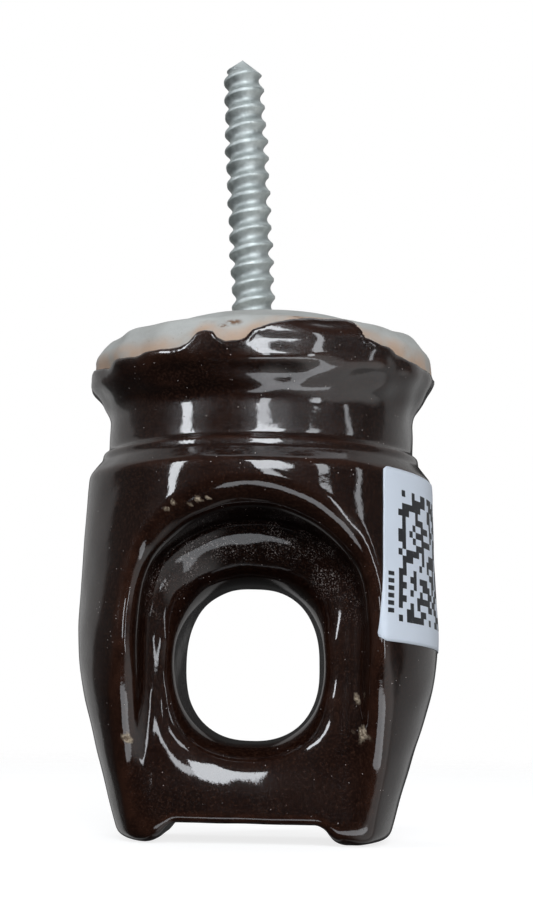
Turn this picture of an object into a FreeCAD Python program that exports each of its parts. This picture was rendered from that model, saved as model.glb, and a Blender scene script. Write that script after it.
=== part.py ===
"""Screw-in porcelain fence insulator: a glazed porcelain body with a wire eye, and a lag screw
cemented head down in its base.  Millimetres.  +Z runs along the porcelain's axis towards the
point of the screw, and the origin is the middle of the seat face that bears on the post."""

import FreeCAD
import Part
import math
import os
from FreeCAD import Vector

# ---- porcelain body: radii and heights of its turned outline --------------------------------
BODY_HEIGHT = 70.8          # seat face to the soles of the two feet
SEAT_R = 10.5               # flat, unglazed land round the socket
CROWN_DROP = 3.3            # the domed base falls away from the seat by this much at the rim
CROWN_R, CROWN_BEND = 22.2, 2.4
RIM_R = 23.8                # the flange is 1 7/8 in across
RIM_TOP, RIM_TOP_BEND = -5.8, 3.0
RIM_FOOT, RIM_FOOT_BEND = -9.6, 2.2
NECK_R = 21.0               # tie groove between the flange and the barrel
NECK_TOP, NECK_TOP_BEND = -13.6, 3.6
NECK_FOOT, NECK_FOOT_BEND = -19.0, 0.8
SHOULDER_R, SHOULDER_Z, SHOULDER_BEND = 23.6, -22.3, 1.6
BELLY_R, BELLY_Z, BELLY_BEND = 24.9, -47.5, 34.0
FOOT_R, FOOT_BEND = 18.0, 2.6

# ---- front and back of the lower body, which tapers to a wedge ------------------------------
TAPER_TOP_DEPTH, TAPER_TOP_Z = 25.5, -30.9      # half depth where the taper leaves the barrel
KNEE_DEPTH, KNEE_Z, KNEE_BEND = 13.4, -61.5, 9.0
SOLE_DEPTH, SOLE_BEND = 12.8, 5.5

# ---- wire eye, the recess round it, and the notch between the feet --------------------------
EYE_HALF_WIDTH, EYE_HALF_HEIGHT = 9.6, 10.2
EYE_X, EYE_Z = -0.9, -47.4  # the hand-pressed eye and notch sit a little off the middle
EYE_SQUARENESS = 2.5        # exponent of the eye's superellipse
EYE_POINTS = 28             # points that its curve is drawn through
SADDLE_R, CHEEK_R = 7.3, 2.6    # mouth radii over and under the wire, and at its sides
SADDLE_DEPTHS = (0.0, 2.5, 5.0, 6.5, 8.0, 9.4, 10.5, 11.3, 11.8, 12.1)
RECESS_FLOOR = 12.0         # half the thickness left round the eye
RECESS_HALF_WIDTH = 14.6
RECESS_TOP, RECESS_ARCH_R = -28.3, 16.4
RECESS_CORNER_R = 2.4
NOTCH_TOP, NOTCH_CORNER_R = -67.9, 1.6
NOTCH_HALF_WIDTH, NOTCH_FLARE = 9.6, 2.8

# ---- glaze ----------------------------------------------------------------------------------
GLAZE_THICKNESS = 0.3
GLAZE_EDGE = -3.6           # the glaze stops here, so that the base can stand in the kiln

# ---- socket and cement ----------------------------------------------------------------------
SOCKET_R, SOCKET_DEPTH, SOCKET_CORNER_R = 7.6, 27.5, 1.5
KEY_DEPTH, KEY_HALF_WIDTH, KEY_BEND = 0.9, 1.3, 0.6
KEY_LEVELS = (-7.0, -14.0, -21.0)
CEMENT_CROWN, CEMENT_CROWN_R = 0.7, 4.6     # a low collar of cement round the screw

# ---- lag screw, 1/4 in by 2 1/2 in, 10 threads to the inch ----------------------------------
SCREW_LENGTH_OUT, SCREW_LENGTH_IN = 39.0, 24.5
THREAD_PITCH = 2.54
THREAD_CREST_R, THREAD_ROOT_R = 3.23, 2.45
THREAD_CREST_WIDTH, THREAD_ROOT_WIDTH = 0.25, 1.5
THREAD_SINK = 0.25          # how far the thread is rooted in the core
THREAD_START = 1.2          # the plain shank ends just above the cement
THREAD_RUNOUT, THREAD_RUNIN = 2.0, 4.0
SHANK_R = 3.1
TAPER_LENGTH, TAPER_R = 14.0, 2.05
POINT_LENGTH = 3.0
HEAD_FLATS, HEAD_THICKNESS = 11.1, 4.3
SCREW_OFFSET = Vector(-1.0, 0.0, 0.0)
SCREW_LEAN_DEG = 3.9        # the screw was set by hand, and leans towards -X

# ---- paper label ----------------------------------------------------------------------------
LABEL_HEIGHT, LABEL_WIDTH, LABEL_CORNER_R = 22.6, 26.0, 2.0
LABEL_TOP = -22.9
LABEL_START_DEG = 44.0      # its first edge, turned from -Y towards +X
LABEL_THICKNESS = 0.12

FAR = 60.0                  # well outside the body
Z_AXIS = Vector(0, 0, 1)


def on_xz(u, v):
    return Vector(u, 0.0, v)


def on_yz(u, v):
    return Vector(0.0, u, v)


def rounded_wire(corners, place):
    """A closed wire through (u, v, bend) corners, each bend the radius of a tangent arc."""
    bends = []
    for i, (u, v, radius) in enumerate(corners):
        here = place(u, v)
        back = (place(*corners[i - 1][:2]) - here).normalize()
        ahead = (place(*corners[(i + 1) % len(corners)][:2]) - here).normalize()
        half = math.acos(max(-1.0, min(1.0, back.dot(ahead)))) / 2
        if radius == 0:
            bends.append((here, None, here))
            continue
        reach = radius / math.tan(half)
        middle = (back + ahead).normalize() * (radius / math.sin(half) - radius)
        bends.append((here + back * reach, here + middle, here + ahead * reach))
    edges = []
    for i, (start, middle, end) in enumerate(bends):
        if middle is not None:
            edges.append(Part.Arc(start, middle, end).toShape())
        following = bends[(i + 1) % len(bends)][0]
        if end.distanceToPoint(following) > 1e-6:
            edges.append(Part.LineSegment(end, following).toShape())
    return Part.Wire(edges)


def turned(corners):
    """The solid of revolution about Z of a closed (radius, z, bend) outline."""
    return Part.Face(rounded_wire(corners, on_xz)).revolve(Vector(), Z_AXIS, 360)


def prism(corners, place, along):
    """A closed outline extruded by along, half to each side of its plane."""
    face = Part.Face(rounded_wire(corners, place))
    face.translate(along * -0.5)
    return face.extrude(along)


def both_sides(front):
    """A front cutter together with its twin at the back."""
    back = front.copy()
    back.rotate(Vector(), Z_AXIS, 180)
    return [front, back]


def barrel_corners(inset):
    """The outline's corners from the shoulder down to the soles."""
    return [
        (SHOULDER_R - inset, SHOULDER_Z, SHOULDER_BEND),
        (BELLY_R - inset, BELLY_Z, BELLY_BEND),
        (FOOT_R - inset, inset - BODY_HEIGHT, FOOT_BEND),
        (0.0, inset - BODY_HEIGHT, 0.0),
    ]


def envelope(inset):
    """The porcelain without its openings, its surface set in by inset."""
    outline = turned([
        (0.0, 0.0, 0.0),
        (SEAT_R, 0.0, 0.0),
        (CROWN_R - inset, -CROWN_DROP, CROWN_BEND),
        (RIM_R - inset, RIM_TOP, RIM_TOP_BEND),
        (RIM_R - inset, RIM_FOOT, RIM_FOOT_BEND),
        (NECK_R - inset, NECK_TOP, NECK_TOP_BEND),
        (NECK_R - inset, NECK_FOOT, NECK_FOOT_BEND),
    ] + barrel_corners(inset))
    sole = inset - BODY_HEIGHT
    front_side = [
        (-FAR, FAR, 0.0),
        (-FAR, TAPER_TOP_Z, 0.0),
        (-TAPER_TOP_DEPTH, TAPER_TOP_Z, 0.0),
        (inset - KNEE_DEPTH, KNEE_Z, KNEE_BEND),
        (inset - SOLE_DEPTH, sole, SOLE_BEND),
    ]
    back_side = [(-y, z, bend) for y, z, bend in reversed(front_side)]
    return outline.common(prism(front_side + back_side, on_yz, Vector(2 * FAR, 0, 0)))


def recess(inset):
    """The arch cut into the front, from its floor outwards, with a rounded inner corner."""
    half = RECESS_HALF_WIDTH + inset
    arch = RECESS_ARCH_R + inset
    floor = inset - RECESS_FLOOR
    crown = RECESS_TOP + inset
    spring = crown - arch + math.sqrt(arch ** 2 - half ** 2)
    foot = -BODY_HEIGHT - FAR
    outline = Part.Wire([
        Part.LineSegment(Vector(-half, floor, foot), Vector(-half, floor, spring)).toShape(),
        Part.Arc(Vector(-half, floor, spring), Vector(0, floor, crown),
                 Vector(half, floor, spring)).toShape(),
        Part.LineSegment(Vector(half, floor, spring), Vector(half, floor, foot)).toShape(),
        Part.LineSegment(Vector(half, floor, foot), Vector(-half, floor, foot)).toShape(),
    ])
    block = Part.Face(outline).extrude(Vector(0, -FAR, 0))
    corner = [e for e in block.Edges if e.BoundBox.YMin > floor - 0.01 and e.BoundBox.ZMax > foot + 1]
    return block.makeFillet(RECESS_CORNER_R, corner)


def eye_section(y, inset):
    """The eye's outline at depth y: a superellipse that flares towards both mouths."""
    def flare(radius):
        run = max(0.0, abs(y) - (SADDLE_DEPTHS[-1] + 0.15 - radius))
        return radius - math.sqrt(radius * radius - run * run)

    half_width = EYE_HALF_WIDTH + inset + flare(CHEEK_R)
    half_height = EYE_HALF_HEIGHT + inset + flare(SADDLE_R)
    power = 2.0 / EYE_SQUARENESS
    points = []
    for i in range(EYE_POINTS):
        angle = 2 * math.pi * (i + 0.5) / EYE_POINTS
        c, s = math.cos(angle), math.sin(angle)
        points.append(Vector(EYE_X + half_width * math.copysign(abs(c) ** power, c), y,
                             EYE_Z + half_height * math.copysign(abs(s) ** power, s)))
    curve = Part.BSplineCurve()
    curve.interpolate(points, PeriodicFlag=True)
    return Part.Wire(curve.toShape())


def eye(inset):
    """The through eye with its rounded mouths, lofted from one mouth to the other."""
    stations = [-y for y in reversed(SADDLE_DEPTHS[1:])] + list(SADDLE_DEPTHS)
    return Part.makeLoft([eye_section(y, inset) for y in stations], True, False)


def notch(inset):
    """The gap between the feet, under the bar that the wire turns round."""
    top, half = NOTCH_TOP + inset, NOTCH_HALF_WIDTH + inset
    low = -BODY_HEIGHT - 2.0
    spread = half + NOTCH_FLARE * (top - low) / (top + BODY_HEIGHT)
    gap = prism([
        (-half, top, NOTCH_CORNER_R), (half, top, NOTCH_CORNER_R), (spread, low, 0.0), (-spread, low, 0.0),
    ], on_xz, Vector(0, 2 * FAR, 0))
    gap.translate(Vector(EYE_X, 0, 0))
    return gap


def carved(inset):
    """The body's outer form at this inset, with its recesses, eye and notch."""
    shape = envelope(inset)
    for cutter in both_sides(recess(inset)) + [eye(inset), notch(inset)]:
        shape = shape.cut(cutter)
    return shape


def socket():
    """The blind hole in the base, with grooves that key the cement."""
    corners = [(0.0, 0.0, 0.0), (SOCKET_R, 0.0, 0.0)]
    for level in KEY_LEVELS:
        corners += [
            (SOCKET_R, level + KEY_HALF_WIDTH, 0.0),
            (SOCKET_R + KEY_DEPTH, level, KEY_BEND),
            (SOCKET_R, level - KEY_HALF_WIDTH, 0.0),
        ]
    return turned(corners + [(SOCKET_R, -SOCKET_DEPTH, SOCKET_CORNER_R), (0.0, -SOCKET_DEPTH, 0.0)])


def screw_core():
    """Hex head, plain shank, thread root and point, upright on the Z axis."""
    head_bottom = -SCREW_LENGTH_IN
    head_top = head_bottom + HEAD_THICKNESS
    across = HEAD_FLATS / math.sqrt(3)
    turns = [math.radians(60 * i) for i in range(7)]
    ring = [Vector(across * math.cos(a), across * math.sin(a), head_bottom) for a in turns]
    head = Part.Face(Part.makePolygon(ring)).extrude(Vector(0, 0, HEAD_THICKNESS))
    shaft = turned([
        (0.0, head_bottom + HEAD_THICKNESS / 2, 0.0),
        (SHANK_R, head_bottom + HEAD_THICKNESS / 2, 0.0),
        (SHANK_R, head_top, 0.0),
        (SHANK_R, THREAD_START, 0.0),
        (THREAD_ROOT_R, THREAD_START + 1.0, 0.0),
        (THREAD_ROOT_R, SCREW_LENGTH_OUT - TAPER_LENGTH, 0.0),
        (TAPER_R, SCREW_LENGTH_OUT - POINT_LENGTH, 0.0),
        (0.0, SCREW_LENGTH_OUT, 0.0),
    ])
    return shaft.fuse(head)


def screw_thread():
    """The right-hand lag thread, run out at the shank and at the point."""
    top = SCREW_LENGTH_OUT - POINT_LENGTH
    root = THREAD_ROOT_R - THREAD_SINK
    crest = THREAD_CREST_WIDTH / 2
    flank = (THREAD_ROOT_WIDTH / 2 - crest) / (THREAD_CREST_R - THREAD_ROOT_R)
    base = crest + flank * (THREAD_CREST_R - root)
    helix = Part.makeLongHelix(THREAD_PITCH, top - THREAD_START, THREAD_ROOT_R)
    profile = Part.makePolygon([
        Vector(root, 0, -base), Vector(THREAD_CREST_R, 0, -crest),
        Vector(THREAD_CREST_R, 0, crest), Vector(root, 0, base), Vector(root, 0, -base),
    ])
    thread = Part.Wire(helix).makePipeShell([profile], True, True)
    thread.translate(Vector(0, 0, THREAD_START))
    limits = turned([
        (0.0, THREAD_START, 0.0),
        (THREAD_ROOT_R, THREAD_START, 0.0),
        (THREAD_CREST_R, THREAD_START + THREAD_RUNOUT, 0.0),
        (THREAD_CREST_R, top - THREAD_RUNIN, 0.0),
        (root, top, 0.0),
        (0.0, top, 0.0),
    ])
    return thread.common(limits)


def lag_screw():
    """The whole screw, leaning in the socket as it was set."""
    screw = screw_core().fuse(screw_thread())
    screw.rotate(Vector(), Vector(0, 1, 0), -SCREW_LEAN_DEG)
    screw.translate(SCREW_OFFSET)
    return screw


def cement_plug(screw):
    """Cement that fills the keyed socket round the screw, with a low collar on top."""
    collar = Part.makeCone(SOCKET_R, CEMENT_CROWN_R, CEMENT_CROWN)
    return socket().fuse(collar).cut(screw)


def product_label():
    """A thin paper label with rounded corners that follows the side of the barrel."""
    def barrel(inset):
        top = SHOULDER_Z + LABEL_CORNER_R
        return turned([(0.0, top, 0.0), (SHOULDER_R - inset, top, 0.0)] + barrel_corners(inset))

    half_turn = LABEL_WIDTH / SHOULDER_R / 2
    half = SHOULDER_R * math.sin(half_turn)
    low = LABEL_TOP - LABEL_HEIGHT
    stamp = prism([
        (-half, low, LABEL_CORNER_R), (half, low, LABEL_CORNER_R),
        (half, LABEL_TOP, LABEL_CORNER_R), (-half, LABEL_TOP, LABEL_CORNER_R),
    ], on_xz, Vector(0, FAR, 0))
    stamp.translate(Vector(0, -FAR / 2, 0))
    stamp.rotate(Vector(), Z_AXIS, LABEL_START_DEG + math.degrees(half_turn))
    return barrel(-LABEL_THICKNESS).cut(barrel(0.0)).common(stamp)


def main():
    os.makedirs("parts", exist_ok=True)
    bare_base = Part.makeBox(2 * FAR, 2 * FAR, FAR, Vector(-FAR, -FAR, GLAZE_EDGE))
    outer = carved(0.0)
    core = carved(GLAZE_THICKNESS)
    screw = lag_screw()
    nodes = {
        "porcelain_body": core.fuse(outer.common(bare_base)).cut(socket()),
        "glaze_coat": outer.cut(core).cut(bare_base),
        "cement_plug": cement_plug(screw),
        "lag_screw": screw,
        "product_label": product_label(),
    }
    for name, shape in nodes.items():
        print(name, len(shape.Solids), "solid, valid:", shape.isValid(), "mm3:", round(shape.Volume, 1))
        shape.exportStep(f"parts/{name}.step")


main()
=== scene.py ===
"""Looks for the screw-in porcelain fence insulator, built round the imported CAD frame.

Shapes are worked out in millimetres in the CAD frame and handed to Blender in metres."""

import math

import bpy
import numpy as np
import openvdb
from mathutils import Matrix, Vector

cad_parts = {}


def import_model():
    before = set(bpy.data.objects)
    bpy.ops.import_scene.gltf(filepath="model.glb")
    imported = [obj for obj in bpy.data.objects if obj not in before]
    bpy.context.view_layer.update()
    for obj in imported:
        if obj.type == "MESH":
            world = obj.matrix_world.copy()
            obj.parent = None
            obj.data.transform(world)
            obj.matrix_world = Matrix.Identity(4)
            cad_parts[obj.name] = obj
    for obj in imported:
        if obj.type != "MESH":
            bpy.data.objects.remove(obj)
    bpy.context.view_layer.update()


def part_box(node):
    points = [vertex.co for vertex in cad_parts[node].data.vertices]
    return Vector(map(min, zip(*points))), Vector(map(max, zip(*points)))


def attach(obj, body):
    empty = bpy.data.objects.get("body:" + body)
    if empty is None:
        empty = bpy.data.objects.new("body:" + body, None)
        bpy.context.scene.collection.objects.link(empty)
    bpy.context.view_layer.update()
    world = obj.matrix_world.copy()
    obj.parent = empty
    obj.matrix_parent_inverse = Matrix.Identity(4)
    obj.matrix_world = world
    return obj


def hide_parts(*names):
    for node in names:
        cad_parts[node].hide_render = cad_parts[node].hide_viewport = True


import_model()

MM = 0.001
SEED = 892
BODY = "root"
VOXEL = 0.34

# ---- porcelain: the CAD model's sizes, but for its openings, which differ by about 1 mm -----
BODY_HEIGHT = -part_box("glaze_coat")[0].z / MM
SEAT_R, CROWN_R, CROWN_DROP = 10.5, 22.2, 3.3
RIM_R, RIM_TOP, RIM_FOOT = 23.8, -5.8, -9.6
NECK_R, NECK_TOP, NECK_FOOT = 21.0, -13.6, -19.0
SHOULDER_R, SHOULDER_Z = 23.6, -22.3
BELLY_R, BELLY_Z = 24.9, -47.5
FOOT_R = 18.0
SLOPE_TOP, SLOPE_TOP_DEPTH, SLOPE_FOOT, SLOPE_FOOT_DEPTH, FOOT_DEPTH = -30.9, 25.5, -61.5, 13.4, 12.8
EYE_X, EYE_Z = -0.6, -47.35
EYE_HALF_WIDTH, EYE_HALF_HEIGHT, EYE_POWER, EYE_DRAFT = 9.0, 10.1, 2.4, 0.075
SADDLE_R, BAR_R, CHEEK_R = 8.6, 6.4, 3.0        # the eye's rolled edge: above, below and beside
RECESS_FLOOR, RECESS_HALF_WIDTH, RECESS_DRAFT = 12.0, 14.1, 0.12
RECESS_TOP, RECESS_ARCH_R, RECESS_SLOPE = -29.3, 16.4, 0.13
NOTCH_TOP, NOTCH_HALF_WIDTH, NOTCH_FLARE = -67.5, 9.9, 0.75
SIDE_ROUND, RECESS_ROUND, RECESS_FILLET, ARCH_ROUND, NOTCH_ROUND = 2.5, 4.2, 1.7, 2.0, 1.1
FOOT_DROP, FACE_INSET = 0.74, 0.145             # the feet reach down and the whole face lies in
FLANGE_TILT = 0.022                             # the flange's rise for each mm towards +X
SLOW_WAVE, QUICK_WAVE, NECK_WAVE, FLANGE_WAVE, FOLD_WAVE = 0.15, 0.035, 0.045, 0.2, 0.08
GLAZE_THICKNESS, GLAZE_UNDERCUT = 0.3, 0.8
BEAD_HEIGHT, BEAD_FROM_EDGE, BEAD_WIDTH, EDGE_WAVE = 0.14, 0.75, 0.5, 0.13
SOCKET_R, SOCKET_DEPTH = 7.6, 27.5

# ---- lag screw ------------------------------------------------------------------------------
SCREW_LENGTH_OUT, SCREW_LENGTH_IN = 38.97, 24.5
THREAD_PITCH, THREAD_CREST_R, THREAD_ROOT_R = 2.54, 3.2, 2.42
SCREW_OFFSET, SCREW_LEAN_DEG = Vector((-1.2, 0.0, 0.0)), 3.6

# ---- camera ---------------------------------------------------------------------------------
CAMERA_AZIMUTH, CAMERA_DISTANCE, CAMERA_HEIGHT = 3.0, 245.0, -55.0
CAMERA_PITCH, CAMERA_YAW, CAMERA_ROLL = 8.6, 0.18, -1.0
CAMERA_LENS, CAMERA_SENSOR, CAMERA_CLIP = 71.1, 36.0, 0.01     # mm, mm and metres


# ---- fields: signed distances in mm, negative inside ----------------------------------------

def rounded_outline(corners, step=0.2):
    """Points along a closed outline of (u, v, bend) corners, each bend a tangent arc."""
    points = []
    for i, (u, v, bend) in enumerate(corners):
        here = np.array((u, v))
        back = np.array(corners[i - 1][:2]) - here
        ahead = np.array(corners[(i + 1) % len(corners)][:2]) - here
        back = back / np.linalg.norm(back)
        ahead = ahead / np.linalg.norm(ahead)
        half = math.acos(np.clip(back @ ahead, -1, 1)) / 2
        if bend == 0 or half > 1.56:
            points.append(here)
            continue
        middle = (back + ahead) / np.linalg.norm(back + ahead)
        centre = here + middle * bend / math.sin(half)
        start = here + back * bend / math.tan(half) - centre
        sweep = math.pi - 2 * half
        turn = math.copysign(1, start[0] * ahead[1] - start[1] * ahead[0])
        count = max(2, int(sweep * bend / step))
        for a in np.linspace(0, turn * sweep, count + 1):
            c, s = math.cos(a), math.sin(a)
            points.append(centre + (start[0] * c - start[1] * s, start[0] * s + start[1] * c))
    return np.array(points)


class Outline:
    """The signed distance to a closed plane outline, tabulated on a fine grid."""
    STEP = 0.1

    def __init__(self, corners, low, high):
        points = rounded_outline(corners)
        self.low = np.array(low, float)
        count = np.ceil((np.array(high) - low) / self.STEP).astype(int) + 1
        u, v = np.meshgrid(*(low[k] + self.STEP * np.arange(count[k]) for k in (0, 1)), indexing="ij")
        nearest = np.full(u.shape, 1e9)
        inside = np.zeros(u.shape, bool)
        for (au, av), (bu, bv) in zip(points, np.roll(points, -1, axis=0)):
            du, dv = bu - au, bv - av
            along = np.clip(((u - au) * du + (v - av) * dv) / max(du * du + dv * dv, 1e-12), 0, 1)
            nearest = np.minimum(nearest, (u - au - along * du) ** 2 + (v - av - along * dv) ** 2)
            if av != bv:
                inside ^= ((av > v) != (bv > v)) & (u < au + (v - av) * du / dv)
        self.table = np.where(inside, -1, 1) * np.sqrt(nearest)

    def __call__(self, u, v):
        last = np.array(self.table.shape) - 1.001
        a = np.clip((u - self.low[0]) / self.STEP, 0, last[0])
        b = np.clip((v - self.low[1]) / self.STEP, 0, last[1])
        i, j = a.astype(int), b.astype(int)
        a, b = a - i, b - j
        near = self.table[i, j] * (1 - b) + self.table[i, j + 1] * b
        return near * (1 - a) + (self.table[i + 1, j] * (1 - b) + self.table[i + 1, j + 1] * b) * a


def round_max(a, b, radius):
    """Where two solids meet, the edge they share gets this radius."""
    corner = np.hypot(np.maximum(a + radius, 0), np.maximum(b + radius, 0))
    return np.minimum(-radius, np.maximum(a, b)) + corner


def ramp(value, low, high):
    """0 below low, 1 above high, and smooth between."""
    t = np.clip((value - low) / (high - low), 0, 1)
    return t * t * (3 - 2 * t)


class Waves:
    """Smooth seeded noise about -1 to 1, a sum of plane waves about one wavelength long."""

    def __init__(self, wavelength, seed, count=14):
        rng = np.random.default_rng(seed)
        ways = rng.normal(size=(count, 3))
        ways /= np.linalg.norm(ways, axis=1)[:, None]
        self.ways = ways * (2 * math.pi / wavelength * rng.uniform(0.7, 1.4, count))[:, None]
        self.phases = rng.uniform(0, 2 * math.pi, count)

    def __call__(self, x, y, z):
        total = 0
        for (a, b, c), phase in zip(self.ways, self.phases):
            total = total + np.sin(a * x + b * y + c * z + phase)
        return total * math.sqrt(2 / len(self.ways)) / 2


FORM_REACH = (0.0, -76.0), (40.0, 6.0)          # the low and high corners of both outlines' grids
turned_form = Outline([
    (-40.0, 0.0, 0.0), (SEAT_R, 0.0, 3.0), (CROWN_R, -CROWN_DROP, 2.4), (RIM_R, RIM_TOP, 3.0),
    (RIM_R, RIM_FOOT, 2.2), (NECK_R, NECK_TOP, 3.6), (NECK_R, NECK_FOOT + 0.3, 0.5),
    (NECK_R + 0.75, NECK_FOOT - 0.2, 0.5), (NECK_R + 0.9, NECK_FOOT - 1.2, 0.5),
    (SHOULDER_R, SHOULDER_Z, 1.7), (BELLY_R, BELLY_Z, 34.0), (FOOT_R, -BODY_HEIGHT, 2.6),
    (-40.0, -BODY_HEIGHT, 0.0),
], *FORM_REACH)
side_half = [
    (FOOT_DEPTH, -BODY_HEIGHT, 4.0), (SLOPE_FOOT_DEPTH, SLOPE_FOOT, 9.0),
    (SLOPE_TOP_DEPTH, SLOPE_TOP, 0.0), (60.0, SLOPE_TOP, 0.0), (60.0, 30.0, 0.0)]
side_form = Outline([(-u, v, bend) for u, v, bend in reversed(side_half)] + side_half, *FORM_REACH)
slow_waves = Waves(26.0, SEED)
quick_waves = Waves(7.0, SEED + 1)
fold_waves = Waves(7.5, SEED + 5)
eye_turns = np.linspace(0, 2 * math.pi, 121)[:-1]
eye_form = Outline([
    (EYE_HALF_WIDTH * math.copysign(abs(math.cos(t)) ** (2 / EYE_POWER), math.cos(t)),
     EYE_HALF_HEIGHT * math.copysign(abs(math.sin(t)) ** (2 / EYE_POWER), math.sin(t)), 0.0)
    for t in eye_turns], (0.0, 0.0), (27.0, 30.0))


def arch_distance(x, z, depth):
    """Distance to the recess's arched wall, negative in the recess."""
    beyond = np.maximum(depth - RECESS_FLOOR, 0)
    half = RECESS_HALF_WIDTH + RECESS_DRAFT * beyond
    top = RECESS_TOP + RECESS_SLOPE * beyond
    arc = np.hypot(x, z - (top - RECESS_ARCH_R)) - RECESS_ARCH_R
    arc = np.where(z > top - RECESS_ARCH_R, arc, np.abs(x) - RECESS_ARCH_R)
    return round_max(arc, np.abs(x) - half, ARCH_ROUND)


def eye_edge(x, z):
    """The radius of the eye's rolled edge, by the way a point lies from the eye's middle."""
    rise = (z - EYE_Z) / np.maximum(np.hypot(x - EYE_X, z - EYE_Z), 1e-6)
    return CHEEK_R + (SADDLE_R - CHEEK_R) * ramp(rise, 0.2, 0.9) + (BAR_R - CHEEK_R) * ramp(-rise, 0.35, 0.95)


def hand_made(x, y, z):
    """Waviness left by hand work: slow all over, quicker on the flange, with folds at its right."""
    wavy = fold_waves(x, y, z * 1.5) * (NECK_WAVE + FLANGE_WAVE * ramp(z, -15.5, -11.0))
    wavy = wavy * ramp(-z, 1.5, 4.5)
    folds = np.sin(2.1 * z - 0.5 * x + 2.2 * slow_waves(x, y, z))
    folds = folds * ramp(x, 3.0, 10.0) * ramp(-x, -22.0, -16.0)
    folds = folds * ramp(z, -15.0, -12.5) * ramp(-z, 8.0, 10.0) * ramp(-y, 0.0, 6.0)
    wavy = wavy * ramp(z, -30.0, -22.0) + FOLD_WAVE * folds
    return SLOW_WAVE * slow_waves(x, y, z) + QUICK_WAVE * quick_waves(x, y, z) + wavy


def form(x, y, z):
    """The finished outer form, as one field: the glaze's face, and the bare base."""
    z = z + FOOT_DROP * ramp(-z, 60.0, 70.0)
    z = z - x * FLANGE_TILT * ramp(z, -16.0, -9.0)
    depth = np.abs(y)
    solid = turned_form(np.hypot(x, y), z)
    solid = round_max(solid, side_form(depth, z), SIDE_ROUND)
    pocket = round_max(arch_distance(x, z, depth), RECESS_FLOOR - depth, RECESS_FILLET)
    solid = round_max(solid, -pocket, RECESS_ROUND)
    eye = eye_form(np.abs(x - EYE_X), np.abs(z - EYE_Z)) - EYE_DRAFT * np.minimum(depth, RECESS_FLOOR)
    solid = round_max(solid, -eye, eye_edge(x, z))
    low = np.abs(x - EYE_X) - NOTCH_HALF_WIDTH - NOTCH_FLARE * np.maximum(NOTCH_TOP - z, 0)
    notch = round_max(low * 0.8, z - NOTCH_TOP, 0.8)
    solid = round_max(solid, -notch, NOTCH_ROUND)
    return solid + FACE_INSET + hand_made(x, y, z)


# ---- glaze edge on the base -----------------------------------------------------------------
# The glaze was wiped off the base by hand.  Its edge's height up the dome against the angle from
# the front (-Y) towards +X.
GLAZE_EDGE = [
    (-180, -1.2), (-160, 0.6), (-140, 1.8), (-120, -0.6), (-90, -2.2), (-59, -2.9), (-42, -2.7),
    (-30, -2.6), (-24, -2.5), (-20.5, -1.8), (-18, -0.5), (-15.5, -0.1), (-13, -0.3),
    (-11.5, -1.3), (-9, -1.8), (-5, -1.8), (-2.5, -1.3), (0, -0.1), (5, 1.1), (12, 2.3),
    (19, 3.3), (25, 3.5), (31, 3.75), (34, 3.0), (37, -0.3), (49, -1.1), (58, -1.8), (68, -1.9),
    (90, -2.5), (115, -0.4), (128, 0.9), (145, -1.8), (165, -0.2)]
edge_waves = Waves(3.4, SEED + 2)


def around_base(x, y, z):
    """A point's angle from the front towards +X in degrees, and its height up the dome in mm."""
    return np.degrees(np.arctan2(x, -y)), (RIM_R - np.hypot(x, y)) + (z + CROWN_DROP + 2.0)


def glaze_cover(x, y, z):
    """How far a point lies inside the glazed area, in mm, negative on the bare base."""
    angles, levels = zip(*GLAZE_EDGE)
    around, height = around_base(x, y, z)
    level = np.interp(around, angles + (180,), levels + (levels[0],))
    return level - height + EDGE_WAVE * edge_waves(x, y, z)


def porcelain(x, y, z):
    """The porcelain's own face: under the glaze, and flush with the form near the seat."""
    return form(x, y, z) + GLAZE_THICKNESS * ramp(-z, 0.4, 2.4)


def glaze(x, y, z):
    """The glaze's outer face, which beads up and then dives under at its edge."""
    cover = glaze_cover(x, y, z)
    dive = 1.4 * GLAZE_THICKNESS * (1 - ramp(cover, -0.55, 0.35))
    dive = dive + GLAZE_UNDERCUT * (1 - ramp(cover, -2.4, -0.3))
    bead = BEAD_HEIGHT * np.exp(-((cover - BEAD_FROM_EDGE) / BEAD_WIDTH) ** 2)
    return form(x, y, z) + dive - bead


def gradient(field, p, step=0.05):
    """Unit outward normals of a field at points p, and the field's slope there."""
    slopes = []
    for axis in range(3):
        shift = np.zeros(3)
        shift[axis] = step
        slopes.append((field(*(p + shift).T) - field(*(p - shift).T)) / (2 * step))
    slope = np.stack(slopes, axis=1)
    length = np.maximum(np.linalg.norm(slope, axis=1), 1e-6)
    return slope / length[:, None], length


def surface(field, low, high, voxel):
    """Vertices in mm on the field's zero surface, and the quads that join them."""
    axes = [np.arange(low[k], high[k] + voxel, voxel, dtype=np.float32) for k in range(3)]
    block = np.empty([len(a) for a in axes], np.float32)
    for i, x in enumerate(axes[0]):
        y, z = np.meshgrid(axes[1], axes[2], indexing="ij")
        block[i] = field(np.full_like(y, x), y, z)
    grid = openvdb.FloatGrid()
    grid.background = 3.0
    grid.copyFromArray(np.clip(block, -3, 3), tolerance=0.0)
    vertices, quads = grid.convertToQuads(0.0)
    vertices = vertices.astype(float) * voxel + np.array(low)
    for _ in range(3):
        normals, slope = gradient(field, vertices)
        vertices = vertices - normals * (field(*vertices.T) / slope)[:, None]
    return vertices, quads


def shown(name, mesh, material, node):
    """A smooth piece with a material, which rides with the part and stands for a CAD node."""
    mesh.polygons.foreach_set("use_smooth", [True] * len(mesh.polygons))
    mesh.update()
    mesh.materials.append(material)
    piece = bpy.data.objects.new(name, mesh)
    bpy.context.collection.objects.link(piece)
    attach(piece, BODY)
    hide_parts(node)
    return piece


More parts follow.
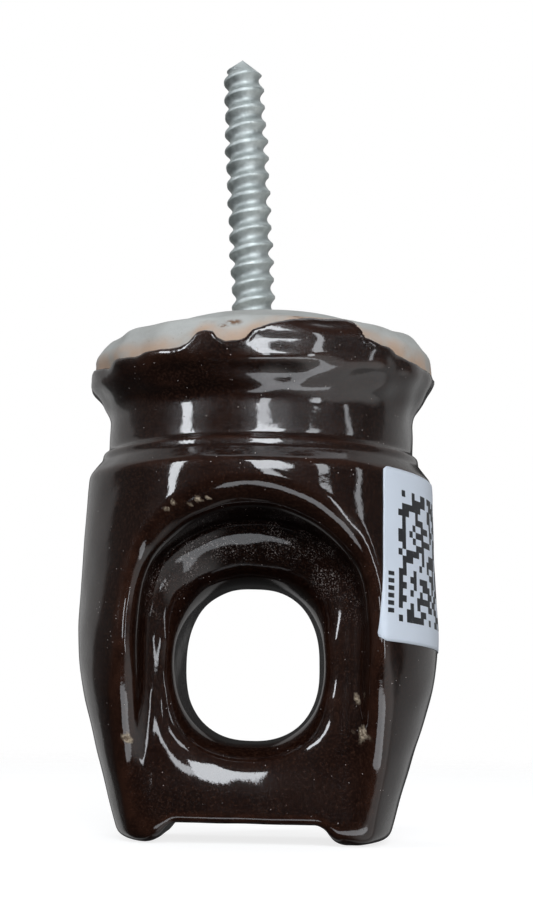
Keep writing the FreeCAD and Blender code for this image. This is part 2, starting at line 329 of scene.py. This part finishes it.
def mesh_piece(name, vertices, quads, material, node):
    """A shown piece from vertices in mm and quads, as arrays."""
    mesh = bpy.data.meshes.new(name)
    mesh.vertices.add(len(vertices))
    mesh.vertices.foreach_set("co", (vertices * MM).astype(np.float32).ravel())
    mesh.loops.add(4 * len(quads))
    mesh.loops.foreach_set("vertex_index", quads.astype(np.int32).ravel())
    mesh.polygons.add(len(quads))
    mesh.polygons.foreach_set("loop_start", np.arange(0, 4 * len(quads), 4, dtype=np.int32))
    mesh.update(calc_edges=True)
    return shown(name, mesh, material, node)


# ---- materials ------------------------------------------------------------------------------

class Nodes:
    """A node tree with a few short ways to add nodes to it."""

    def __init__(self, tree):
        self.tree = tree

    def node(self, kind, *values, **settings):
        """Adds a node, sets its settings, and plugs sockets or values into its inputs in order."""
        node = self.tree.nodes.new("ShaderNode" + kind)
        for key, value in settings.items():
            setattr(node, key, value)
        for socket, value in zip(node.inputs, values):
            self.plug(socket, value)
        return node

    def plug(self, socket, value):
        if isinstance(value, bpy.types.NodeSocket):
            self.tree.links.new(value, socket)
        elif value is not None:
            socket.default_value = value

    def ramp(self, value, low, high, start=0.0, end=1.0):
        """Maps low..high on value smoothly to start..end."""
        return self.node("MapRange", value, low, high, start, end,
                         interpolation_type="SMOOTHSTEP").outputs["Result"]

    def math(self, kind, a, b=0.0, c=0.0):
        return self.node("Math", a, b, c, operation=kind).outputs[0]


class Shader(Nodes):
    """A Principled material."""

    def __init__(self, name, **values):
        self.material = bpy.data.materials.new(name)
        self.material.use_nodes = True
        super().__init__(self.material.node_tree)
        self.surface = self.tree.nodes["Principled BSDF"]
        for key, value in values.items():
            self.surface.inputs[key.replace("_", " ")].default_value = value

    def set(self, name, value):
        self.plug(self.surface.inputs[name], value)

    def place(self):
        return self.node("TexCoord").outputs["Object"]

    def noise(self, size, detail=2.0, rough=0.5):
        """Noise from 0 to 1 whose lumps are about size mm across."""
        node = self.node("TexNoise")
        for key, value in {"Vector": self.place(), "Scale": 1 / (size * MM), "Detail": detail,
                           "Roughness": rough}.items():
            self.plug(node.inputs[key], value)
        return node.outputs["Fac"]

    def cells(self, size):
        """Distance from the middle of the nearest cell, cells being about size mm apart."""
        node = self.node("TexVoronoi")
        self.plug(node.inputs["Vector"], self.place())
        self.plug(node.inputs["Scale"], 1 / (size * MM))
        return node.outputs["Distance"]

    def blend(self, factor, a, b):
        """Colour a where factor is 0, and b where it is 1."""
        node = self.node("Mix", data_type="RGBA")
        for socket, value in zip((node.inputs[0], node.inputs[6], node.inputs[7]), (factor, a, b)):
            self.plug(socket, value if not isinstance(value, tuple) else value + (1.0,))
        return node.outputs[2]

    def attribute(self, name):
        return self.node("Attribute", attribute_name=name).outputs["Fac"]

    def bump(self, height, depth, under=None):
        """A bump whose height of 1 is depth mm."""
        node = self.node("Bump")
        for key, value in {"Strength": 1.0, "Distance": depth * MM, "Height": height,
                           "Normal": under}.items():
            self.plug(node.inputs[key], value)
        return node.outputs["Normal"]


def glaze_material():
    """Dark brown gloss glaze: redder where it runs thin, orange-peeled, pale-specked, dusted on the saddles
    with a pale mix of dusting and painted sparkle highlight, and chipped.
    """
    m = Shader("brown_glaze", IOR=1.5, Coat_Roughness=0.055)
    thin = m.attribute("thin")
    chip = m.attribute("chip")
    dull = m.attribute("dull")
    cloud = m.ramp(m.noise(6.0, 3.0), 0.35, 0.7)
    body = m.blend(cloud, (0.0066, 0.0023, 0.0015), (0.0118, 0.0042, 0.0026))
    grain = m.ramp(m.noise(0.32, 2.0, 0.6), 0.42, 0.74)
    body = m.blend(grain, body, (0.027, 0.0115, 0.007))
    patchy = m.ramp(m.noise(1.8, 3.0), 0.3, 0.7, 0.15, 0.8)
    body = m.blend(m.math("MULTIPLY", thin, patchy), body, (0.031, 0.012, 0.007))
    specks = m.ramp(m.cells(0.9), 0.05, 0.1, 1.0, 0.0)
    sparse = m.ramp(m.noise(2.7), 0.5, 0.58)
    specks = m.math("MULTIPLY", specks, sparse)
    # Pale colour on the saddles' crowns: partly dust, partly a painted sparkle highlight of light caught
    # there; the scattered specks share this pale colour.
    dust_highlight = m.math("MULTIPLY", m.attribute("dusty_highlight"), m.ramp(m.noise(0.21, 3.0, 0.6), 0.52, 0.68))
    dust_highlight = m.math("MULTIPLY", dust_highlight, m.ramp(m.noise(2.4, 3.0), 0.42, 0.66, 0.06, 1.0))
    body = m.blend(m.math("MAXIMUM", specks, dust_highlight), body, (0.3, 0.265, 0.25))
    grit = m.ramp(m.noise(0.35, 3.0), 0.3, 0.7)
    clay = m.blend(grit, (0.1, 0.07, 0.048), (0.46, 0.38, 0.28))
    m.set("Base Color", m.blend(chip, body, clay))
    haze = m.ramp(m.noise(0.6, 2.0), 0.3, 0.7, 0.15, 0.27)
    m.set("Roughness", m.math("MULTIPLY_ADD", chip, 0.4, haze))
    m.set("Specular IOR Level", m.math("MULTIPLY_ADD", m.attribute("hazy"), 0.19, 0.03))
    bare = m.math("MAXIMUM", chip, m.math("MULTIPLY", dull, 0.55))
    m.set("Coat Weight", m.math("SUBTRACT", 1.0, bare))
    peel = m.bump(m.noise(1.1, 1.0), 0.01)
    fine = m.bump(m.noise(0.25, 2.0, 0.6), 0.0035, peel)
    m.set("Coat Normal", m.bump(specks, 0.03, fine))
    sparkle = m.bump(m.noise(0.2, 2.0, 0.7), 0.04, peel)
    m.set("Normal", m.bump(m.math("MULTIPLY", chip, grit), 0.12, sparkle))
    return m.material


def bisque_material():
    """Unglazed porcelain: matt, finely grained, tinged where the glaze's edge soaked in."""
    m = Shader("bisque", Roughness=0.72)
    soak = m.attribute("soak")
    cloud = m.ramp(m.noise(6.0, 4.0), 0.35, 0.7)
    clay = m.blend(cloud, (0.355, 0.355, 0.335), (0.425, 0.43, 0.41))
    patchy = m.math("MULTIPLY", soak, m.ramp(m.noise(4.0, 2.0), 0.3, 0.6, 0.25, 1.0))
    clay = m.blend(patchy, clay, (0.43, 0.3, 0.215))
    smear = m.math("MULTIPLY", m.attribute("smear"), m.ramp(m.noise(0.7, 3.0), 0.35, 0.55))
    clay = m.blend(smear, clay, (0.15, 0.075, 0.038))
    dirt = m.math("MULTIPLY", m.ramp(m.noise(2.3, 5.0, 0.65), 0.56, 0.72), 0.45)
    clay = m.blend(dirt, clay, (0.3, 0.28, 0.25))
    pores = m.ramp(m.cells(0.9), 0.07, 0.15, 0.75, 0.0)
    pores = m.math("MULTIPLY", pores, m.ramp(m.noise(1.9), 0.42, 0.55, 0.1, 1.0))
    m.set("Base Color", m.blend(pores, clay, (0.3, 0.26, 0.22)))
    grain = m.bump(m.noise(0.3, 3.0, 0.6), 0.02)
    m.set("Normal", m.bump(m.noise(2.2, 2.0), 0.1, grain))
    return m.material


def zinc_material():
    """Zinc plate over a rolled thread: satin, cloudy, and darkened in the roots as painted shade."""
    m = Shader("zinc", Metallic=1.0)
    cloud = m.ramp(m.noise(1.6, 4.0, 0.6), 0.3, 0.7)
    plate = m.blend(cloud, (0.5, 0.54, 0.53), (0.67, 0.71, 0.695))
    # Painted shade: the plate is darkened in the thread's roots.
    groove_shade = m.attribute("groove_shade")
    plate = m.blend(m.math("MULTIPLY", groove_shade, 0.35), plate, (0.3, 0.325, 0.32))
    m.set("Base Color", plate)
    m.set("Roughness", m.ramp(m.noise(0.7, 3.0), 0.3, 0.75, 0.56, 0.7))
    fine = m.bump(m.noise(0.22, 3.0, 0.6), 0.008)
    m.set("Normal", m.bump(m.noise(1.1, 2.0), 0.05, fine))
    return m.material


def cement_material():
    """Grey-cream cement with sand grains and small voids."""
    m = Shader("cement", Roughness=0.92)
    sand = m.ramp(m.cells(0.35), 0.1, 0.5)
    cloud = m.ramp(m.noise(2.5, 4.0), 0.3, 0.7)
    paste = m.blend(cloud, (0.42, 0.4, 0.36), (0.56, 0.54, 0.49))
    paste = m.blend(m.math("MULTIPLY", sand, 0.4), paste, (0.3, 0.28, 0.25))
    m.set("Base Color", paste)
    coarse = m.bump(m.noise(0.8, 4.0, 0.7), 0.15)
    m.set("Normal", m.bump(sand, 0.06, coarse))
    return m.material


PATTERN_CELLS = 20          # cells along each side of the label's printed block
LABEL_MARGIN, PATTERN_SIDE = 2.9, 17.2
DASHES_PER_SIDE, DASH_MIDDLE = 18.0, -0.085


def label_material():
    """White coated paper with a made-up block of random black cells that holds no data."""
    m = Shader("paper", Roughness=0.5)
    place = m.node("UVMap", uv_map="print").outputs["UV"]
    axes = m.node("SeparateXYZ", place)
    u, v = axes.outputs[0], axes.outputs[1]
    across, up = (m.math("FLOOR", m.math("MULTIPLY", axis, PATTERN_CELLS)) for axis in (u, v))
    inside = m.math("MULTIPLY", m.math("COMPARE", u, 0.5, 0.5), m.math("COMPARE", v, 0.5, 0.5))
    spot = m.node("CombineXYZ", across, up, 3.7).outputs[0]
    bits = m.node("TexWhiteNoise", spot).outputs["Value"]
    ink = m.math("GREATER_THAN", bits, 0.5)
    ink = m.math("MULTIPLY", ink, inside)
    dash = m.math("LESS_THAN", m.math("FRACT", m.math("MULTIPLY", v, DASHES_PER_SIDE)), 0.62)
    column = m.math("COMPARE", u, DASH_MIDDLE, 0.032)
    strip = m.math("MULTIPLY", column, m.math("COMPARE", v, 0.2, 0.165))
    ink = m.math("MAXIMUM", ink, m.math("MULTIPLY", dash, strip))
    worn = m.math("MULTIPLY", ink, m.ramp(m.noise(0.5, 3.0), 0.25, 0.4, 0.92, 1.0))
    paper = m.blend(m.noise(4.0, 3.0), (0.56, 0.61, 0.68), (0.62, 0.67, 0.74))
    m.set("Base Color", m.blend(worn, paper, (0.012, 0.013, 0.016)))
    m.set("Normal", m.bump(m.noise(0.5, 3.0), 0.008))
    return m.material


# ---- porcelain and glaze --------------------------------------------------------------------

# Each chip in the glaze: its middle and its radius.
CHIPS = [((-15.8, -14.2, -57.7), 1.35), ((13.9, -13.4, -56.5), 1.4), ((13.4, -12.9, -52.1), 0.9),
         ((14.0, -13.6, -50.8), 0.5), ((-10.7, -20.9, -28.6), 0.35), ((-9.9, -21.4, -27.8), 0.35),
         ((-7.8, -21.5, -28.1), 0.35), ((-6.7, -21.9, -27.5), 0.5), ((-5.4, -22.0, -27.3), 0.3)]
# Each smear: its angle from the front, its height up the dome, and its size.
SMEARS = [(-6.5, 2.0, 1.0), (-10.0, 1.2, 0.6), (15.0, 3.9, 0.8), (-118.0, 2.5, 1.2), (150.0, 1.8, 1.5)]
chip_waves = Waves(1.3, SEED + 3)


def chipped(x, y, z):
    """1 in the middle of a chip in the glaze, 0 away from one."""
    ragged = 1 + 0.35 * chip_waves(x, y, z)
    amount = 0.0
    for (cx, cy, cz), radius in CHIPS:
        off = np.sqrt((x - cx) ** 2 + (y - cy) ** 2 + (z - cz) ** 2)
        amount = np.maximum(amount, 1 - ramp(off / (radius * ragged), 0.72, 1.0))
    return amount


def smeared(x, y, z):
    """1 in the middle of a smear of glaze on the bare base, 0 away from one."""
    around, height = around_base(x, y, z)
    amount = 0.0
    for angle, level, size in SMEARS:
        aside = np.radians((around - angle + 180) % 360 - 180) * RIM_R
        amount = np.maximum(amount, 1 - ramp(np.hypot(aside * 0.7, height - level) / size, 0.4, 1.0))
    return amount


def convexity(field, p, step=0.9):
    """Mean curvature of a field's surface at points p, in 1/mm, positive on ridges."""
    total = -6 * field(*p.T)
    for axis in range(3):
        for way in (-step, step):
            shift = np.zeros(3)
            shift[axis] = way
            total = total + field(*(p + shift).T)
    return total / step ** 2


def worn(x, y, z, normals):
    """Where a dusting has dulled the glaze, 0 to 1: the recesses' ceilings, and the saddles' crowns, which
    also get a pale colour that is part dusting, part painted sparkle highlight.
    """
    depth = np.abs(y)
    around = np.hypot(x - EYE_X, z - EYE_Z)
    ceiling = ramp(-normals[:, 2], 0.5, 0.85) * ramp(z, -35.0, -31.0) * ramp(-z, 24.0, 27.0)
    ceiling = ceiling * ramp(depth, 9.0, 11.0) * ramp(-depth, -21.0, -19.0)
    saddle = ramp(z, -44.0, -36.0) * ramp(-around, -20.0, -17.5) * ramp(around, 11.0, 14.5)
    return ceiling, saddle * ramp(depth, 8.5, 10.5) * ramp(-depth, -14.0, -12.5)


def paint(piece, name, values):
    """Gives each vertex a number that the piece's material reads by name."""
    piece.data.attributes.new(name, "FLOAT", "POINT").data.foreach_set("value", values.astype(np.float32))


def porcelain_pieces():
    """The glaze's skin and the bare porcelain, which shows where the glaze dives under it."""
    margin = 1.5
    low = (-RIM_R - 3.0, -RIM_R - 3.0, -BODY_HEIGHT - margin)
    high = (RIM_R + 3.0, RIM_R + 3.0, margin)
    vertices, quads = surface(glaze, low, high, VOXEL)
    skin = mesh_piece("glaze_skin", vertices, quads, glaze_material(), "glaze_coat")
    paint(skin, "thin", ramp(convexity(porcelain, vertices), 0.12, 0.6))
    paint(skin, "chip", chipped(*vertices.T))
    ceiling, saddle = worn(*vertices.T, gradient(glaze, vertices)[0])
    paint(skin, "dull", np.maximum(ceiling, 0.5 * saddle))
    # The saddles' pale colour: partly dust, partly a painted sparkle highlight.
    paint(skin, "dusty_highlight", saddle)
    paint(skin, "hazy", ramp(vertices[:, 2], -24.0, -19.0))
    vertices, quads = surface(porcelain, low, high, VOXEL * 1.5)
    bisque = mesh_piece("bisque_body", vertices, quads, bisque_material(), "porcelain_body")
    cover = glaze_cover(*vertices.T)
    paint(bisque, "soak", ramp(cover, -3.4, -0.2))
    paint(bisque, "smear", smeared(*vertices.T))


# ---- lag screw ------------------------------------------------------------------------------

THREAD_START, SCREW_PHASE = 0.6, 0.5
SCREW_ROWS_PER_MM, SCREW_SIDES = 9, 96
HEAD_FLATS, HEAD_THICKNESS, SHANK_R = 11.1, 4.3, 3.05


def screw_radius(turn, z):
    """The screw's radius at an angle and height: shank, thread with round roots, and point."""
    wobble = 0.03 * np.sin(3 * turn + z * 1.7) + 0.03 * np.sin(z * 2.9 + turn)
    phase = ((z - turn * THREAD_PITCH / (2 * math.pi)) / THREAD_PITCH + SCREW_PHASE) % 1.0
    crest = 1 - np.sin(math.pi * phase) ** 1.2
    crest = np.minimum(crest, 0.84 + 0.06 * np.sin(2 * turn + 0.8 * z))
    fade = ramp(z, THREAD_START, THREAD_START + 1.2)
    root = THREAD_ROOT_R - 0.25 * ramp(z, SCREW_LENGTH_OUT - 15.0, SCREW_LENGTH_OUT - 2.0)
    runout = 1 - ramp(z, THREAD_START, THREAD_START + 1.0)
    root = np.where(z < THREAD_START, SHANK_R, root + (SHANK_R - root) * runout)
    radius = root + (THREAD_CREST_R - THREAD_ROOT_R) * crest * fade + wobble * ramp(z, 0.0, 2.0)
    point = (SCREW_LENGTH_OUT - z) * (1.3 + 0.25 * np.cos(turn - 2.6))
    radius = np.minimum(radius, np.maximum(point, 0.01))
    head_top = HEAD_THICKNESS - SCREW_LENGTH_IN
    across = HEAD_FLATS / 2 / np.cos((turn + math.pi / 6) % (math.pi / 3) - math.pi / 6)
    return np.where(z < head_top, across, radius), crest * fade


def lag_screw():
    """Rings of the screw's radius, from its hex head to its point, leaned over and closed."""
    rows = np.concatenate([
        [-SCREW_LENGTH_IN, HEAD_THICKNESS - SCREW_LENGTH_IN - 0.02, HEAD_THICKNESS - SCREW_LENGTH_IN],
        np.linspace(-12.0, -1.0, 5),
        np.arange(-0.6, SCREW_LENGTH_OUT, 1 / SCREW_ROWS_PER_MM), [SCREW_LENGTH_OUT - 0.02]])
    turns = np.arange(SCREW_SIDES) * 2 * math.pi / SCREW_SIDES
    z, turn = np.meshgrid(rows, turns, indexing="ij")
    radius, crest = screw_radius(turn, z)
    lean = Matrix.Rotation(math.radians(-SCREW_LEAN_DEG), 3, "Y")
    points = np.stack([radius * np.cos(turn), radius * np.sin(turn), z], axis=-1).reshape(-1, 3)
    ends = np.array([[0, 0, rows[0]], [0, 0, SCREW_LENGTH_OUT]])
    points = np.concatenate([points, ends]) @ np.array(lean).T + np.array(SCREW_OFFSET)
    faces = []
    for i in range(len(rows) - 1):
        for j in range(SCREW_SIDES):
            k = (j + 1) % SCREW_SIDES
            a, b = i * SCREW_SIDES, (i + 1) * SCREW_SIDES
            faces.append((a + j, a + k, b + k, b + j))
    last, bottom = (len(rows) - 1) * SCREW_SIDES, len(rows) * SCREW_SIDES
    for j in range(SCREW_SIDES):
        k = (j + 1) % SCREW_SIDES
        faces.append((bottom, k, j))
        faces.append((last + j, last + k, bottom + 1))
    mesh = bpy.data.meshes.new("threaded_screw")
    mesh.from_pydata((points * MM).tolist(), [], faces)
    screw = shown("threaded_screw", mesh, zinc_material(), "lag_screw")
    # How far each vertex lies in the thread's roots, where the zinc gets painted shade.
    paint(screw, "groove_shade", np.concatenate([1 - ramp(crest.ravel(), 0.0, 0.75), [0.5, 0.5]]))
    flats = [len(p.vertices) == 3 or p.center.z < -0.5 * SOCKET_DEPTH * MM for p in mesh.polygons]
    mesh.polygons.foreach_set("use_smooth", [not flat for flat in flats])


# ---- cement ---------------------------------------------------------------------------------

CEMENT_R, CEMENT_SIDES = SOCKET_R - 0.05, 72
COLLAR_RISE, COLLAR_REACH = 0.65, 1.1


def cement():
    """The plug's lumpy top, with a low collar up the screw, and its body in the socket."""
    waves = Waves(3.0, SEED + 4)
    sides = CEMENT_SIDES
    turns = np.arange(sides) * 2 * math.pi / sides
    points, faces = [(SCREW_OFFSET.x, 0.0, 0.6)], []
    for r in np.linspace(0.6, CEMENT_R, 22):
        for t in turns:
            x, y = r * math.cos(t), r * math.sin(t)
            reach = math.hypot(x - SCREW_OFFSET.x, y) - SHANK_R
            collar = COLLAR_RISE * math.exp(-max(reach, 0) / COLLAR_REACH)
            hollow = 0.25 * math.sin(math.pi * r / SOCKET_R) ** 2
            points.append((x, y, collar - hollow + 0.12 * float(waves(x, y, 0.0)) - 0.05))
    for r, z in ((CEMENT_R, -2.0), (CEMENT_R, -SOCKET_DEPTH + 1.5), (SOCKET_R - 1.6, -SOCKET_DEPTH)):
        points += [(r * math.cos(t), r * math.sin(t), z) for t in turns]
    points.append((0.0, 0.0, -SOCKET_DEPTH))
    ring_count = (len(points) - 2) // sides
    for j in range(sides):
        k = (j + 1) % sides
        faces.append((0, 1 + j, 1 + k))
        for i in range(ring_count - 1):
            a, b = 1 + i * sides, 1 + (i + 1) * sides
            faces.append((a + j, b + j, b + k, a + k))
        low = 1 + (ring_count - 1) * sides
        faces.append((low + j, len(points) - 1, low + k))
    mesh = bpy.data.meshes.new("cement_fill")
    mesh.from_pydata((np.array(points) * MM).tolist(), [], faces)
    shown("cement_fill", mesh, cement_material(), "cement_plug")


# ---- label ----------------------------------------------------------------------------------

LABEL_TOP, LABEL_HEIGHT, LABEL_WIDTH, LABEL_CORNER_R = -22.6, 22.6, 26.0, 0.9
LABEL_START_DEG, LABEL_TURN_DEG, LABEL_LIFT, LABEL_THICKNESS = 44.0, 2.5, 0.02, 0.1
LABEL_STEP = 0.5


def label():
    """Thin paper that follows the glazed side, with rounded corners and a printed block."""
    rows = int(LABEL_HEIGHT / LABEL_STEP) + 1
    columns = int(LABEL_WIDTH / LABEL_STEP) + 1
    v = np.linspace(0, LABEL_HEIGHT, rows)
    near = np.minimum(v, LABEL_HEIGHT - v)
    short = LABEL_CORNER_R - np.sqrt(np.clip(
        LABEL_CORNER_R ** 2 - np.clip(LABEL_CORNER_R - near, 0, None) ** 2, 0, None))
    share = np.linspace(0, 1, columns)
    across = short[:, None] + share[None, :] * (LABEL_WIDTH - 2 * short[:, None])
    height = np.repeat(v[:, None], columns, axis=1)
    c, s = math.cos(math.radians(LABEL_TURN_DEG)), math.sin(math.radians(LABEL_TURN_DEG))
    aside, above = across - LABEL_WIDTH / 2, height - LABEL_HEIGHT / 2
    turn = math.radians(LABEL_START_DEG) + (LABEL_WIDTH / 2 + aside * c + above * s) / SHOULDER_R
    z = LABEL_TOP - LABEL_HEIGHT / 2 + above * c - aside * s
    radius = np.full(z.shape, RIM_R)
    for _ in range(12):
        radius = radius - glaze(radius * np.sin(turn), -radius * np.cos(turn), z)
    layers = []
    for lift in (LABEL_LIFT + LABEL_THICKNESS, LABEL_LIFT):
        r = radius + lift
        layers.append(np.stack([r * np.sin(turn), -r * np.cos(turn), z], axis=-1).reshape(-1, 3))
    grid = np.arange(rows * columns).reshape(rows, columns)
    front = [(grid[i, j], grid[i, j + 1], grid[i + 1, j + 1], grid[i + 1, j])
             for i in range(rows - 1) for j in range(columns - 1)]
    back = [tuple(rows * columns + n for n in reversed(face)) for face in front]
    edge = list(grid[0]) + list(grid[1:, -1]) + list(grid[-1, -2::-1]) + list(grid[-2:0:-1, 0])
    sides = [(b, a, a + rows * columns, b + rows * columns) for a, b in zip(edge, edge[1:] + edge[:1])]
    mesh = bpy.data.meshes.new("paper_label")
    faces = [tuple(map(int, face)) for face in front + back + sides]
    mesh.from_pydata((np.concatenate(layers) * MM).tolist(), [], faces)
    uv = mesh.uv_layers.new(name="print")
    printed = np.stack([(across - LABEL_MARGIN) / PATTERN_SIDE,
                        (height - (LABEL_HEIGHT - PATTERN_SIDE) / 2) / PATTERN_SIDE], axis=-1)
    printed = np.tile(printed.reshape(-1, 2), (2, 1))
    corners = np.empty(len(mesh.loops), int)
    mesh.loops.foreach_get("vertex_index", corners)
    uv.data.foreach_set("uv", printed[corners].ravel())
    shown("paper_label", mesh, label_material(), "product_label")


porcelain_pieces()
lag_screw()
cement()
label()


# ---- stage ----------------------------------------------------------------------------------

def camera():
    """A camera low in front of the object, looking up at it, pitched, yawed and rolled a little."""
    azimuth = math.radians(CAMERA_AZIMUTH)
    place = Vector((math.sin(azimuth), -math.cos(azimuth), 0)) * CAMERA_DISTANCE
    place.z = CAMERA_HEIGHT
    heading = azimuth - math.radians(CAMERA_YAW)
    pitch, roll = math.radians(CAMERA_PITCH), math.radians(CAMERA_ROLL)
    ahead = Vector((-math.sin(heading) * math.cos(pitch), math.cos(heading) * math.cos(pitch),
                    math.sin(pitch)))
    right = Vector((math.cos(heading), math.sin(heading), 0))
    up = right.cross(ahead)
    across = right * math.cos(roll) - up * math.sin(roll)
    upright = up * math.cos(roll) + right * math.sin(roll)
    turn = Matrix((across, upright, -ahead)).transposed()
    data = bpy.data.cameras.new("camera")
    data.lens, data.sensor_width, data.sensor_fit = CAMERA_LENS, CAMERA_SENSOR, "AUTO"
    data.clip_start = CAMERA_CLIP
    thing = bpy.data.objects.new("camera", data)
    thing.matrix_world = Matrix.Translation(place * MM) @ turn.to_4x4()
    bpy.context.collection.objects.link(thing)
    bpy.context.scene.camera = thing


FLOOR_INNER, FLOOR_OUTER = 0.16, 0.7     # metres: the floor fades into the backdrop between these
FLOOR_GAP, FLOOR_GLOW = 0.1, 0.8


def floor():
    """A pale floor that fades into the white backdrop all round."""
    z = (-BODY_HEIGHT - FLOOR_GAP) * MM
    sides = 64
    turns = [2 * math.pi * i / sides for i in range(sides)]
    ring = [(FLOOR_OUTER * math.cos(t), FLOOR_OUTER * math.sin(t), z) for t in turns]
    mesh = bpy.data.meshes.new("floor")
    mesh.from_pydata(ring, [], [tuple(range(sides))])
    m = Shader("floor", Base_Color=(0.36, 0.36, 0.36, 1), Roughness=0.9, Specular_IOR_Level=0.0,
               Emission_Color=(1, 1, 1, 1), Emission_Strength=FLOOR_GLOW)
    off = m.node("VectorMath", m.place(), operation="LENGTH").outputs["Value"]
    m.set("Alpha", m.ramp(off, FLOOR_INNER, FLOOR_OUTER * 0.97, 1.0, 0.0))
    mesh.materials.append(m.material)
    thing = bpy.data.objects.new("floor", mesh)
    bpy.context.collection.objects.link(thing)
    thing.visible_glossy = False
    thing.visible_diffuse = False


# Each panel: name, shape, azimuth from the front (-Y) towards +X, elevation, width and height, all
# in degrees as the object sees it, its radiance, and how far it is turned about its own middle.
PANELS = [
    ("window_front", "RECTANGLE", 6.5, 25.5, 19.0, 26.0, 11.0, 18.0),
    ("window_low", "RECTANGLE", 8.0, 3.0, 8.0, 18.0, 7.5, 6.0),
    ("window_left", "RECTANGLE", -56.0, 20.0, 8.0, 26.0, 12.0, 6.0),
    ("window_right", "RECTANGLE", 43.0, 20.0, 8.0, 15.0, 6.0, 10.0),
    ("window_right_low", "ELLIPSE", 40.5, -8.0, 6.0, 22.0, 5.5, 4.0),
    ("table_front", "ELLIPSE", 20.0, -42.0, 54.0, 17.0, 2.1, 0.0),
    ("lamp_far_right", "ELLIPSE", 70.0, 12.0, 4.0, 16.0, 3.0, 0.0),
    ("ceiling_lamp", "ELLIPSE", 170.0, 78.0, 50.0, 50.0, 0.6, 0.0),
]
PANEL_DISTANCE, PANEL_AIM_Z = 0.9, -35.0
PANEL_TINT = (0.91, 0.95, 1.0)
POWER_PER_RADIANCE = 4.0                 # watts per square metre of an area light of radiance 1


def panels():
    """The soft lights, each turned to face the object's middle and not seen by the camera."""
    middle = Vector((0, 0, PANEL_AIM_Z * MM))
    for name, shape, azimuth, elevation, width, height, radiance, tilt in PANELS:
        a, e = math.radians(azimuth), math.radians(elevation)
        way = Vector((math.sin(a) * math.cos(e), -math.cos(a) * math.cos(e), math.sin(e)))
        right = Vector((math.cos(a), math.sin(a), 0))
        up = way.cross(right)
        data = bpy.data.lights.new(name, "AREA")
        data.shape = shape
        data.size = 2 * PANEL_DISTANCE * math.tan(math.radians(width) / 2)
        data.size_y = 2 * PANEL_DISTANCE * math.tan(math.radians(height) / 2)
        data.energy = radiance * POWER_PER_RADIANCE * data.size * data.size_y
        data.color = PANEL_TINT
        turn = Matrix((right, up, way)).transposed() @ Matrix.Rotation(math.radians(tilt), 3, "Z")
        thing = bpy.data.objects.new(name, data)
        thing.matrix_world = Matrix.Translation(middle + way * PANEL_DISTANCE) @ turn.to_4x4()
        thing.visible_camera = False
        bpy.context.collection.objects.link(thing)


# The world's brightness by direction: the room in front, a glow low on the right, and the wall.
ROOM, ROOM_BELOW, TABLE = 0.08, 0.02, 0.85
WALL, WALL_BEYOND, BACKDROP = 0.37, 0.03, 1.0
TABLE_AZIMUTH, TABLE_ELEVATION = 72.0, -38.0
WALL_RIGHT, WALL_LEFT, WALL_LEFT_LEAN, WALL_END = 1.85, 2.14, 1.2, 2.83    # radians from the front


def world():
    """A dim room in front, a pale wall round the back, and a white backdrop for camera rays."""
    scene = bpy.context.scene
    scene.view_settings.view_transform = "Standard"
    scene.world = bpy.data.worlds.new("studio")
    scene.world.use_nodes = True
    m = Nodes(scene.world.node_tree)
    way = m.node("VectorMath", m.node("TexCoord").outputs["Generated"], operation="NORMALIZE").outputs[0]
    x, y, z = m.node("SeparateXYZ", way).outputs
    azimuth = m.math("ABSOLUTE", m.math("ARCTAN2", x, m.math("MULTIPLY", y, -1.0)))
    a, e = math.radians(TABLE_AZIMUTH), math.radians(TABLE_ELEVATION)
    table = (math.sin(a) * math.cos(e), -math.cos(a) * math.cos(e), math.sin(e))
    off = m.node("VectorMath", way, table, operation="DOT_PRODUCT").outputs["Value"]
    room = m.math("ADD", m.ramp(z, -0.35, 0.15, ROOM_BELOW, ROOM), m.ramp(off, 0.72, 0.93, 0.0, TABLE))
    lean = m.math("MULTIPLY_ADD", z, -WALL_LEFT_LEAN, WALL_LEFT)
    edge = m.ramp(x, -0.05, 0.05, m.math("MINIMUM", m.math("MAXIMUM", lean, WALL_RIGHT), 2.6), WALL_RIGHT)
    share = m.ramp(azimuth, m.math("SUBTRACT", edge, 0.05), m.math("ADD", edge, 0.07))
    wall = m.ramp(azimuth, WALL_END - 0.08, WALL_END + 0.08, WALL, WALL_BEYOND)
    lit = m.math("ADD", m.math("MULTIPLY", room, m.math("SUBTRACT", 1.0, share)),
                 m.math("MULTIPLY", wall, share))
    strength = m.node("Mix", m.node("LightPath").outputs["Is Camera Ray"], data_type="FLOAT")
    m.plug(strength.inputs[2], lit)
    m.plug(strength.inputs[3], BACKDROP)
    background = m.tree.nodes["Background"]
    background.inputs["Color"].default_value = (1, 1, 1, 1)
    m.plug(background.inputs["Strength"], strength.outputs[0])


camera()
floor()
panels()
world()
